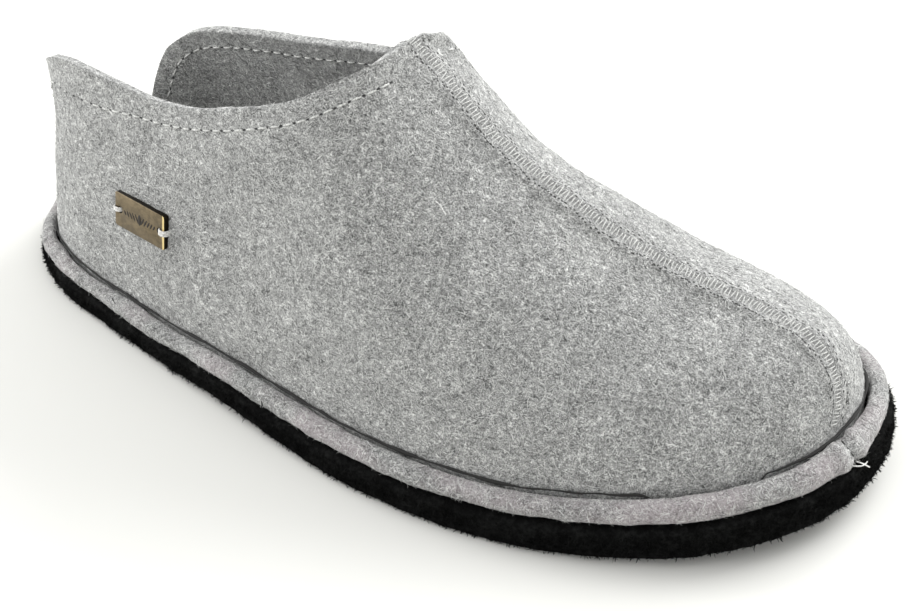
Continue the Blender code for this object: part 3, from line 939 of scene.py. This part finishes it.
class SLIPPER_OT_upper(bpy.types.Operator):
    """Make the felt upper"""

    bl_idname = "slipper.upper"
    bl_label = "Felt upper"

    def execute(self, context):
        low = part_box("upper")[0].z
        mesh = subdivided(merged("upper"), "felt_upper", 2, 0.55)
        seam = Seam(Skin.of_mesh(mesh))

        def outwards(point, normal):
            return normal.dot(Vector((point.x * 0.3, point.y, 0.03))) > 0.0

        def height(point, normal):
            free = smooth(point.z - low, FREE_FROM, FREE_AT)
            side = 1.0 if outwards(point, normal) else -1.0
            total = lump_height(point, UPPER_LUMPS) + side * fold_height(point)
            aside, beyond = seam.off(point)
            if beyond < 0.002 and side > 0.0:
                for ridge in SEAM_RIDGES:
                    ragged = 1.0 + 0.5 * noise.noise(point / 0.004)
                    total += ridge.out * ragged * hump(aside - ridge.off, ridge.width)
            return free * total

        # Store how strongly the felt is darkened along the seam as painted shade.
        sewn = mesh.attributes.new("sewn", "FLOAT", "POINT")
        for vert, value in zip(mesh.vertices, sewn.data):
            aside, beyond = seam.off(vert.co)
            value.value = hump(aside, SEAM_SHADE_WIDTH) * (1.0 - smooth(beyond, *SEAM_SHADE_END))
        moved_out(mesh, height)
        piece = finished("felt_upper", mesh, felt_finish("grey_felt", 1.0, sewn=True))
        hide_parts("upper")
        return {"FINISHED"}


class SLIPPER_OT_welt(bpy.types.Operator):
    """Make the rolled felt welt"""

    bl_idname = "slipper.welt"
    bl_label = "Felt welt"

    def execute(self, context):
        mesh = subdivided(merged("welt"), "felt_welt", 2, 0.5)
        skin = Skin.of_mesh(bpy.data.objects["felt_upper"].data)

        def height(point, normal):
            near = 1.0 - smooth(skin.gap(point), *WELT_NEAR)
            gape = GAPE + lump_height(point, GAPE_LUMPS)
            ends = min((point - spot).length for spot in JOINT)
            parted = JOINT_DEPTH * hump(ends, JOINT_SPREAD)
            swollen = JOINT_SWELL * hump(ends - JOINT_SWELL_OFF, JOINT_SWELL_SPREAD)
            rise = lump_height(point, WELT_LUMPS) + swollen
            return rise * (1.0 - near) - near * gape - parted

        moved_out(mesh, height)
        piece = finished("felt_welt", mesh, felt_finish("welt_felt", WELT_SHADE, 0.35))
        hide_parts("welt")
        self.groove(skin)
        return {"FINISHED"}

    def groove(self, skin):
        """Lay near-black tubes as painted shadow in the groove between welt and upper, and as painted shade
        in the joint and the marks.
        """
        work = merged("welt")
        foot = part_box("welt")[0].z
        rim = [v.co.copy() for v in work.verts if skin.gap(v.co) < RIM_GAP]
        work.free()
        rows = {}
        for point in rim:
            rows.setdefault(round(math.atan2(point.y, point.x * HALF), 3), []).append(point)
        tops = [max(rows[turn], key=lambda point: point.z) for turn in sorted(rows)]
        tops = [point for point in tops if point.z > foot + 0.002]
        line = even_line(tops, 0.002, closed=True)
        points = []
        for point in line:
            spot, normal = skin.near(point)
            wander = Vector((0.0, 0.0, GROOVE_SHADOW_UP + 0.0005 * noise.noise(point / 0.006)))
            points.append(spot + normal * GROOVE_SHADOW_OUT + wander)
        radii = [max(0.8 + 0.9 * noise.noise(point / 0.007), 0.45) for point in line]
        # Painted shadow: a near-black tube along the join of welt and upper stands for the shade in the
        # groove.
        dark = plain_finish("groove_dark", (0.022, 0.022, 0.021), 1.0)
        tube("welt_groove", points, GROOVE_SHADOW_WIDTH, dark, radii)
        marks = Skin.of_mesh(bpy.data.objects["felt_welt"].data)
        # Near-black tubes along the joint, the cut and the notch: painted shade in these gaps.
        for mark in PAINTED_SHADE_MARKS:
            line = even_line(mark.line, MARK_STEP)
            points = [marks.near(point)[0] for point in line]
            radii = [0.7 + 0.8 * noise.noise(point / 0.003) for point in line]
            tube("welt_" + mark.name, points, mark.width, dark, radii)


class SLIPPER_OT_sole(bpy.types.Operator):
    """Make the black sole and the nap on its side"""

    bl_idname = "slipper.sole"
    bl_label = "Napped sole"

    def execute(self, context):
        sole = settings("sole")
        mesh = subdivided(merged("outsole"), "black_sole", 3, 0.5)

        def height(point, normal):
            return (1.0 - smooth(abs(normal.z), 0.5, 0.95)) * lump_height(point, SOLE_LUMPS)

        moved_out(mesh, height)
        for vert in mesh.vertices:
            vert.co.z = max(vert.co.z, 0.0)
        nap = nap_finish()
        piece = finished("black_sole", mesh, nap)
        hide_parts("outsole")

        def on_side(points, normals):
            return np.clip(1.0 - np.abs(normals[:, 2]) * 1.02, 0.0, 1.0)

        points, normals = scattered(mesh, number(sole.naps), 5, on_side)
        mesh = fibre_mesh("sole_nap", points, normals, 6, sole.nap_length, sole.nap_width, 0.0001, 0.7, 0.9)
        finished("sole_nap", mesh, nap)
        return {"FINISHED"}


class SLIPPER_OT_insole(bpy.types.Operator):
    """Make the felt insole"""

    bl_idname = "slipper.insole"
    bl_label = "Felt insole"

    def execute(self, context):
        mesh = subdivided(merged("insole"), "felt_insole", 2, 0.6)
        moved_out(mesh, lambda point, normal: max(normal.z, 0.0) * lump_height(point, INSOLE_LUMPS))
        piece = finished("felt_insole", mesh, felt_finish("insole_felt", INSOLE_SHADE))
        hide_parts("insole")
        return {"FINISHED"}


class SLIPPER_OT_fibres(bpy.types.Operator):
    """Lay loose light and dark fibres on the felt"""

    bl_idname = "slipper.fibres"
    bl_label = "Loose fibres"

    def execute(self, context):
        felt = settings("felt")
        meshes = {part: bpy.data.objects["felt_" + part].data for part in ("upper", "welt")}
        beside = {"upper": Skin.of_mesh(meshes["welt"]), "welt": Skin.of_mesh(meshes["upper"])}
        tones = {}
        for tone, setting in FIBRE_TONES.items():
            tones[tone] = fibre_finish(tone + "_fibres", tuple(getattr(felt, setting)))
        for row in FIBRES:
            count = number(getattr(felt, row.number) // row.one_in)
            points, normals = scattered(meshes[row.part], count, row.seed)
            clear = np.array([beside[row.part].gap(Vector(point)) > FIBRE_CLEARANCE for point in points])
            name = "{}_{}_fibres".format(row.part, row.kind)
            length = felt.fibre_length * row.reach
            lift = felt.fibre_width * HALF
            fibres = fibre_mesh(
                name, points[clear], normals[clear], row.seed + 10, length, felt.fibre_width, lift, row.loose
            )
            finished(name, fibres, tones[row.tone])
        return {"FINISHED"}


class SLIPPER_OT_collar(bpy.types.Operator):
    """Sew the stitches below the collar's edge, on both faces"""

    bl_idname = "slipper.collar"
    bl_label = "Collar stitches"

    def execute(self, context):
        stitch = settings("stitch")
        skin = Skin.of_mesh(bpy.data.objects["felt_upper"].data)
        work = merged("upper")
        thread = thread_finish("collar_thread", tuple(stitch.colour))
        hole_shade = plain_finish("needle_holes", (0.030, 0.030, 0.030), 1.0)
        throat = Vector((SEAM_LINE[0].x, SEAM_LINE[0].y))
        for wall, faces in zip(("outer", "inner"), regions(work)[:2]):
            line = slid_line(collar_edge(faces), Skin.of_faces(faces))
            line = even_line(line, stitch.pitch * HALF, closed=True)
            line = line[: len(line) // 2 * 2]
            ways = tangents(line, closed=True)
            rows = zip(line[0::2], ways[0::2], line[1::2], ways[1::2])
            rows = [row for row in rows if (row[0].xy - throat).length > THROAT_GAP]
            places, axes = laid_frames([row[0] for row in rows], [row[1] for row in rows], skin)
            sunk = (places[:, 0] > EAR[0]) & (places[:, 0] < EAR[1]) & (places[:, 1] < 0.0)
            places = places + axes[:, 2] * stitch.thickness * np.where(sunk, STITCH_SUNK, STITCH_OUT)[:, None]
            lifts = np.full((len(places), 2), STITCH_DIP)
            sizes = (stitch.pitch * STITCH_LENGTH, stitch.thickness, stitch.thickness)
            mesh = repeated(wall + "_collar_stitches", capsule(), places, axes, sizes, None, lifts)
            finished(mesh.name, mesh, thread)
            # The needle holes are dark flattened capsules: painted shade.
            places, axes = laid_frames([row[2] for row in rows], [row[3] for row in rows], skin)
            sizes = (stitch.pitch * HOLE_LENGTH, stitch.thickness * HOLE_WIDTH, stitch.thickness * HOLE_DEPTH)
            mesh = repeated(wall + "_needle_holes", capsule(), places, axes, sizes)
            finished(mesh.name, mesh, hole_shade)
        work.free()
        return {"FINISHED"}


class SLIPPER_OT_seam(bpy.types.Operator):
    """Sew the zigzag along the seam, from inside the throat over its rim to the toe"""

    bl_idname = "slipper.seam"
    bl_label = "Zigzag seam"

    def execute(self, context):
        stitch = settings("stitch")
        skin = Skin.of_mesh(bpy.data.objects["felt_upper"].data)
        work = merged("upper")
        outer, inner = regions(work)[:2]
        top = Vector((SEAM_LINE[0].x, SEAM_LINE[0].y, 1.0))
        rim = [min(collar_edge(faces), key=lambda p: (p - top).xy.length) for faces in (outer, inner)]
        inside = Skin.of_faces(inner)
        back = []
        spot = rim[1]
        for _ in range(9):
            spot = inside.near(spot + Vector((0.0009, 0.0, -0.0010)))[0]
            back.append(spot)
        work.free()
        line = back[::-1] + rim[::-1] + Seam(skin).points[3:]
        line = [skin.near(point)[0] for point in even_line(line, stitch.seam_pitch)]
        places, axes = laid_frames(line, tangents(line), skin)
        across = axes[:, 1].copy()
        random = np.random.default_rng(31)
        count = len(line)
        zigzag = np.where(np.arange(count) % 2 == 0, 0.10, -0.06) + (random.random(count) - HALF) * 0.10
        threads = unit(across + axes[:, 0] * zigzag[:, None])
        turned = np.stack((threads, np.cross(axes[:, 2], threads), axes[:, 2]), axis=1)
        width = stitch.seam_width * (0.86 + 0.28 * random.random(count))
        thickness = stitch.thickness * ZIGZAG_THICKNESS
        shift = across * ((random.random(count) - HALF) * ZIGZAG_STRAY)[:, None]
        places = places + shift + axes[:, 2] * thickness * HALF
        sizes = np.column_stack((width, np.full(count, thickness), np.full(count, thickness)))
        lifts = np.full((count, 2), ZIGZAG_DIP)
        mesh = repeated("seam_stitches", capsule(), places, turned, sizes, None, lifts)
        finished("seam_stitches", mesh, thread_finish("seam_thread", tinted(stitch.colour, 0.86)))
        # Dark flattened capsules at the needle holes beside the zigzag: painted shade.
        marks = []
        frames = []
        for row in NEEDLES:
            ragged = across * (row.off + (random.random(count) - HALF)[:, None] * 0.0007)
            chosen = np.arange(row.first, count, 2)
            marks += [Vector(place) for place in (places + ragged)[chosen]]
            frames += [Vector(way) for way in axes[chosen, 0]]
        marks, frames = laid_frames(marks, frames, skin)
        sizes = np.full((len(marks), 3), thickness * 1.4)
        sizes[:, 0] *= 1.2 + random.random(len(marks))
        sizes[:, 1] *= 0.8 + 0.5 * random.random(len(marks))
        sizes[:, 2] *= 0.45
        mesh = repeated("seam_holes", capsule(), marks, frames, sizes)
        finished("seam_holes", mesh, plain_finish("seam_holes", (0.04, 0.04, 0.038), 1.0))
        return {"FINISHED"}


def plate_axes():
    """Return the plate's middle, its directions along, up and outwards, and its size along them."""
    work = merged("badge_plate")
    points = [vert.co.copy() for vert in work.verts]
    work.free()
    middle = sum(points, Vector()) / len(points)
    spread = np.array([tuple(p - middle) for p in points])
    ways = np.linalg.svd(spread, full_matrices=False)[2]
    along = Vector(ways[0])
    if along.x < 0.0:
        along.negate()
    out = Vector(ways[2])
    if out.y > 0.0:
        out.negate()
    up = out.cross(along)
    reach = spread @ np.array([tuple(along), tuple(up), tuple(out)]).T
    for way, lowest, highest in zip((along, up, out), reach.min(axis=0), reach.max(axis=0)):
        middle += way * float(highest + lowest) * HALF
    return middle, along, up, out, Vector(np.ptp(reach, axis=0))


class SLIPPER_OT_plate(bpy.types.Operator):
    """Make the metal plate, its ornament and the threads that hold it"""

    bl_idname = "slipper.plate"
    bl_label = "Metal plate"

    def execute(self, context):
        middle, along, up, out, size = plate_axes()
        work = merged("badge_plate")
        bmesh.ops.dissolve_limit(work, angle_limit=math.radians(1), verts=work.verts, edges=work.edges)
        bmesh.ops.bevel(
            work, geom=sharp_edges(work), offset=0.00016, segments=2, profile=0.5, affect="EDGES", material=-1
        )
        bmesh.ops.triangulate(work, faces=work.faces)
        layer = work.loops.layers.uv.new("plate")
        # The side faces get the edge value, which the finish paints near black as painted shade.
        edge = work.faces.layers.float.new("edge")
        for face in work.faces:
            face[edge] = 1.0 if face.normal.dot(out) < 0.5 else 0.0
            for corner in face.loops:
                reach = corner.vert.co - middle
                corner[layer].uv = (reach.dot(along) / size.x + HALF, reach.dot(up) / size.y + HALF)
        mesh = made("metal_plate", work)
        mesh.shade_smooth()
        mesh.set_sharp_from_angle(angle=math.radians(30))
        piece = finished("metal_plate", mesh, metal_finish())
        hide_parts("badge_plate")
        self.engrave(middle, along, up, out, size)
        self.tie(middle, along, up, out, size)
        return {"FINISHED"}

    def engrave(self, middle, along, up, out, size):
        """Cut a plain ornament: a lozenge between rows of slanted strokes that grow smaller outwards."""
        face = middle + out * size.z * HALF
        places = []
        axes = []
        sizes = []
        for k in range(-STROKES, STROKES + 1):
            slant = math.pi * HALF if k == 0 else STROKE_SLANT if k > 0 else math.pi - STROKE_SLANT
            way = along * math.cos(slant) + up * math.sin(slant)
            places.append(tuple(face + along * k * STROKE_STEP))
            axes.append([tuple(way), tuple(out.cross(way)), tuple(out)])
            wide = LOZENGE_WIDTH if k == 0 else STROKE_WIDTH
            sizes.append((STROKE_LENGTH * (1.0 - STROKE_FADE * abs(k)), wide, STROKE_THICKNESS))
        mesh = repeated("plate_ornament", capsule(), np.array(places), np.array(axes), np.array(sizes))
        finished("plate_ornament", mesh, plain_finish("engraving", (0.018, 0.013, 0.008), 0.8))

    def tie(self, middle, along, up, out, size):
        """Lead a few strands of thread through each hole and over the plate's end."""
        plate = settings("plate")
        thread = thread_finish("plate_thread", tuple(plate.thread))
        end = size.x * HALF
        hole = end - PLATE_HOLE_EDGE
        face = size.z * HALF
        for name, side, strands in (("heel", -1.0, 3), ("toe", 1.0, 4)):
            for k in range(strands):
                rise = up * (k - (strands - 1) * HALF) * STRAND_STEP
                steps = (
                    (hole - 0.0004, -face),
                    (hole - 0.0001, face + 0.0001),
                    (hole + 0.0009, face + 0.00055),
                    (end + 0.0002, face + 0.0004),
                    (end + 0.0006, 0.0),
                    (end + 0.0005, -face - 0.0006),
                )
                points = [middle + along * side * run + out * lift + rise for run, lift in steps]
                tube("{}_tie_{}".format(name, k), points, STRAND_THICKNESS, thread)


class SLIPPER_OT_threads(bpy.types.Operator):
    """Lay stray hairs on the upper and thread ends at the welt's joint"""

    bl_idname = "slipper.threads"
    bl_label = "Stray threads"

    def execute(self, context):
        skin = Skin.of_mesh(bpy.data.objects["felt_upper"].data)
        hair = thread_finish("stray_hair", (0.85, 0.85, 0.83))
        start, end = VAMP_HAIR
        points = []
        for k in range(6):
            sway = Vector((0.0, 0.0003 * math.sin(k), 0.0))
            points.append(skin.near(start + (end - start) * (k / 5) + sway)[0] + HAIR_LIFT)
        tube("vamp_hair", points, 0.00014, hair)
        for k, points in enumerate(THREAD_ENDS):
            tube("joint_thread_{}".format(k), points, 0.00019, hair)
        return {"FINISHED"}


class SLIPPER_OT_stage(bpy.types.Operator):
    """Make the floor, the lights and the camera"""

    bl_idname = "slipper.stage"
    bl_label = "Floor, lights and camera"

    def execute(self, context):
        stage = settings("stage")
        work = bmesh.new()
        bmesh.ops.create_grid(work, x_segments=2, y_segments=2, size=FLOOR_SIZE)
        mesh = made("floor", work)
        mesh.materials.append(plain_finish("pale_floor", (0.72, 0.72, 0.69), 0.8))
        floor = placed("floor", mesh)
        world = bpy.data.worlds.new("studio")
        world.use_nodes = True
        dome = world.node_tree.nodes["Background"]
        dome.inputs["Color"].default_value = (1.0, 1.0, 1.0, 1.0)
        dome.inputs["Strength"].default_value = stage.dome
        context.scene.world = world
        self.lamp("back_lamp", stage.back, 0.9, BACK_LAMP)
        self.lamp("heel_lamp", stage.heel, 0.7, HEEL_LAMP)
        context.scene.view_settings.view_transform = "Standard"
        self.camera(context, stage)
        return {"FINISHED"}

    def lamp(self, name, power, size, place):
        """Hang a square soft lamp that shines at the slipper."""
        light = bpy.data.lights.new(name, "AREA")
        light.energy = power
        light.size = size
        lamp = placed(name, light)
        lamp.location = place
        lamp.rotation_euler = place.to_track_quat("Z", "Y").to_euler()

    def camera(self, context, stage):
        """Stand the camera at the slipper's outer side, looking down at it."""
        lens = bpy.data.cameras.new("camera")
        lens.sensor_width = 36.0
        lens.sensor_fit = "HORIZONTAL"
        lens.lens = stage.lens
        lens.clip_start = 0.01
        camera = placed("camera", lens)
        turn, rise = stage.turn, stage.rise
        back = Vector((math.sin(turn) * math.cos(rise), -math.cos(turn) * math.cos(rise), math.sin(rise)))
        right = Vector((math.cos(turn), math.sin(turn), 0.0))
        axes = Matrix((right, back.cross(right), back)).transposed().to_4x4()
        place = Matrix.Translation(LOOK_AT + back * stage.distance)
        camera.matrix_world = place @ axes @ Matrix.Rotation(stage.roll, 4, "Z")
        context.scene.camera = camera


class SLIPPER_PT_panel(bpy.types.Panel):
    """List the slipper's pieces and their settings"""

    bl_idname = "SLIPPER_PT_panel"
    bl_label = "Felt slipper"
    bl_space_type = "VIEW_3D"
    bl_region_type = "UI"
    bl_category = "Slipper"

    def draw(self, context):
        for operator in OPERATORS:
            self.layout.operator(operator.bl_idname)
        for name, group in GROUPS:
            box = self.layout.box()
            box.label(text=name)
            for key in group.__annotations__:
                box.prop(settings(name), key)


GROUPS = (
    ("felt", FeltSizes),
    ("stitch", StitchSizes),
    ("sole", SoleSizes),
    ("plate", PlateSizes),
    ("stage", StageSizes),
)
OPERATORS = (
    SLIPPER_OT_upper,
    SLIPPER_OT_welt,
    SLIPPER_OT_sole,
    SLIPPER_OT_insole,
    SLIPPER_OT_collar,
    SLIPPER_OT_seam,
    SLIPPER_OT_plate,
    SLIPPER_OT_fibres,
    SLIPPER_OT_threads,
    SLIPPER_OT_stage,
)


def register():
    """Add the settings, the operators and the panel."""
    for name, group in GROUPS:
        bpy.utils.register_class(group)
        setattr(bpy.types.Scene, "slipper_" + name, PointerProperty(type=group))
    for operator in OPERATORS:
        bpy.utils.register_class(operator)
    bpy.utils.register_class(SLIPPER_PT_panel)


def unregister():
    """Take the settings, the operators and the panel away."""
    bpy.utils.unregister_class(SLIPPER_PT_panel)
    for operator in reversed(OPERATORS):
        bpy.utils.unregister_class(operator)
    for name, group in reversed(GROUPS):
        delattr(bpy.types.Scene, "slipper_" + name)
        bpy.utils.unregister_class(group)


def main():
    """Dress the slipper, running each operator in turn."""
    register()
    for operator in OPERATORS:
        group, name = operator.bl_idname.split(".")
        getattr(getattr(bpy.ops, group), name)()


if __name__ == "__main__":
    main()
